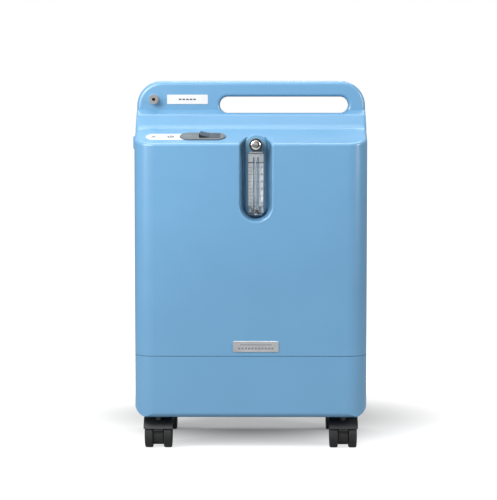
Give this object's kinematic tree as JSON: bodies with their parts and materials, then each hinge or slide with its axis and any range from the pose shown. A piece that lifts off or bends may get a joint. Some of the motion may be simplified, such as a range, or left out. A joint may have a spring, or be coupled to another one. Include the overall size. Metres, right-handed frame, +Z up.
{
  "type": "oxygen concentrator",
  "caption": "Upright home oxygen concentrator with a blue moulded cabinet, top handle, recessed flow meter, control shelf and swivel casters.",
  "frame": {"origin": "on the floor under the middle of the cabinet", "axes": "+Z up from the casters to the handle, +Y from the front face to the back, +X to the viewer's right when facing the front"},
  "size_m": [0.3736, 0.2462, 0.584],
  "materials": {
    "blue_plastic": "smooth moulded, satin gloss",
    "black_plastic": "fine grain",
    "dark_plastic": "polished",
    "grey_plastic": "fine grain",
    "white_plastic": "smooth",
    "silver_plate": "brushed",
    "chrome_fitting": "polished",
    "clear_acrylic": "clear, polished",
    "steel": "zinc plated",
    "aluminium_cast": "cast",
    "motor_steel": "painted",
    "copper": "drawn tube",
    "brass_turned": "turned",
    "rubber_black": "moulded",
    "tyre_black": "moulded",
    "board_green": "solder mask",
    "filter_felt": "open foam",
    "hose_clear": "silicone"
  },
  "bodies": {
    "cabinet": {"front_cover": "blue_plastic", "rear_cover": "blue_plastic", "base_tray": "blue_plastic", "cover_screws": "steel", "badge_plate": "silver_plate", "outlet_fitting": "chrome_fitting", "switch_bezel": "grey_plastic", "switch_case": "black_plastic", "flow_block": "clear_acrylic", "valve_body": "brass_turned", "chassis_plate": "steel", "pump_mounts": "rubber_black", "pump_base": "aluminium_cast", "motor_stator": "motor_steel", "crankcases": "aluminium_cast", "cylinder_heads": "aluminium_cast", "motor_capacitor": "silver_plate", "exhaust_muffler": "black_plastic", "intake_silencer": "black_plastic", "sieve_beds": "aluminium_cast", "valve_block": "aluminium_cast", "solenoid_coils": "black_plastic", "middle_shelf": "steel", "fan_frame": "black_plastic", "heat_exchanger": "copper", "product_tank": "aluminium_cast", "pressure_regulator": "brass_turned", "oxygen_sensor": "white_plastic", "product_filter": "white_plastic", "control_board": "board_green", "board_parts": "black_plastic", "power_inlet": "black_plastic", "breaker_body": "black_plastic", "hour_meter": "black_plastic", "exhaust_grille": "grey_plastic", "gas_hoses": "hose_clear"},
    "rocker": {"power_switch": "dark_plastic"},
    "ball": {"flow_ball": "steel"},
    "needle": {"valve_needle": "steel"},
    "knob": {"flow_knob": "dark_plastic"},
    "compressor_rotor": {"motor_rotor": "steel", "pump_fans": "black_plastic"},
    "plunger_front": {"plunger_front": "steel"},
    "plunger_rear": {"plunger_rear": "steel"},
    "cooling_fan": {"fan_rotor": "black_plastic"},
    "breaker": {"breaker_button": "white_plastic"},
    "filter_door": {"filter_door": "grey_plastic"},
    "filter": {"intake_filter": "filter_felt"},
    "caster_fl": {"caster_fl_hood": "black_plastic", "caster_fl_pin": "steel"},
    "wheels_fl": {"caster_fl_wheels": "tyre_black"},
    "caster_fr": {"caster_fr_hood": "black_plastic", "caster_fr_pin": "steel"},
    "wheels_fr": {"caster_fr_wheels": "tyre_black"},
    "caster_rl": {"caster_rl_hood": "black_plastic", "caster_rl_pin": "steel"},
    "wheels_rl": {"caster_rl_wheels": "tyre_black"},
    "caster_rr": {"caster_rr_hood": "black_plastic", "caster_rr_pin": "steel"},
    "wheels_rr": {"caster_rr_wheels": "tyre_black"}
  },
  "joints": [
    {"name": "swivel_fl", "type": "hinge", "parent": "cabinet", "child": "caster_fl", "pos_m": [-0.147, -0.088, 0.05], "axis": [0, 0, 1], "continuous": true},
    {"name": "roll_fl", "type": "hinge", "parent": "caster_fl", "child": "wheels_fl", "pos_m": [-0.147, -0.078, 0.0235], "axis": [1, 0, 0], "continuous": true},
    {"name": "swivel_fr", "type": "hinge", "parent": "cabinet", "child": "caster_fr", "pos_m": [0.147, -0.088, 0.05], "axis": [0, 0, 1], "continuous": true},
    {"name": "roll_fr", "type": "hinge", "parent": "caster_fr", "child": "wheels_fr", "pos_m": [0.147, -0.078, 0.0235], "axis": [1, 0, 0], "continuous": true},
    {"name": "swivel_rl", "type": "hinge", "parent": "cabinet", "child": "caster_rl", "pos_m": [-0.147, 0.088, 0.05], "axis": [0, 0, 1], "continuous": true},
    {"name": "roll_rl", "type": "hinge", "parent": "caster_rl", "child": "wheels_rl", "pos_m": [-0.147, 0.098, 0.0235], "axis": [1, 0, 0], "continuous": true},
    {"name": "swivel_rr", "type": "hinge", "parent": "cabinet", "child": "caster_rr", "pos_m": [0.147, 0.088, 0.05], "axis": [0, 0, 1], "continuous": true},
    {"name": "roll_rr", "type": "hinge", "parent": "caster_rr", "child": "wheels_rr", "pos_m": [0.147, 0.098, 0.0235], "axis": [1, 0, 0], "continuous": true},
    {"name": "switch_rock", "type": "hinge", "parent": "cabinet", "child": "rocker", "pos_m": [-0.065, -0.08826, 0.49409], "axis": [0, 0.9526, 0.3043], "range_deg": [-16, 0]},
    {"name": "knob_turn", "type": "hinge", "parent": "cabinet", "child": "knob", "pos_m": [0.008, -0.11, 0.483], "axis": [0, -1, 0], "range_deg": [0, 720]},
    {"name": "ball_rise", "type": "slide", "parent": "cabinet", "child": "ball", "axis": [0, 0, 1], "range_m": [0, 0.07]},
    {"name": "needle_lift", "type": "slide", "parent": "cabinet", "child": "needle", "axis": [0, -1, 0], "range_m": [0, 0.002]},
    {"name": "compressor_spin", "type": "hinge", "parent": "cabinet", "child": "compressor_rotor", "pos_m": [-0.04, 0, 0.166], "axis": [1, 0, 0], "continuous": true},
    {"name": "fan_spin", "type": "hinge", "parent": "cabinet", "child": "cooling_fan", "pos_m": [-0.06, 0, 0.297], "axis": [0, 0, 1], "continuous": true},
    {"name": "front_valve", "type": "slide", "parent": "cabinet", "child": "plunger_front", "axis": [0, 0, 1], "range_m": [0, 0.004], "stiffness_N_per_m": 400, "springref_m": -0.002},
    {"name": "rear_valve", "type": "slide", "parent": "cabinet", "child": "plunger_rear", "axis": [0, 0, 1], "range_m": [0, 0.004], "stiffness_N_per_m": 400, "springref_m": -0.002},
    {"name": "breaker_reset", "type": "slide", "parent": "cabinet", "child": "breaker", "axis": [0, -1, 0], "range_m": [0, 0.0015], "stiffness_N_per_m": 600},
    {"name": "door_lift_off", "type": "slide", "parent": "cabinet", "child": "filter_door", "axis": [0, 1, 0], "range_m": [0, 0.06]},
    {"name": "filter_slide", "type": "slide", "parent": "cabinet", "child": "filter", "axis": [0, 1, 0], "range_m": [0, 0.03]}
  ],
  "couplings": [
    {"joint": "ball_rise", "follows": "knob_turn", "m_per_rad": 0.005569},
    {"joint": "needle_lift", "follows": "knob_turn", "m_per_rad": 0.0001591},
    {"joint": "filter_slide", "follows": "door_lift_off", "ratio": 0.5}
  ]
}
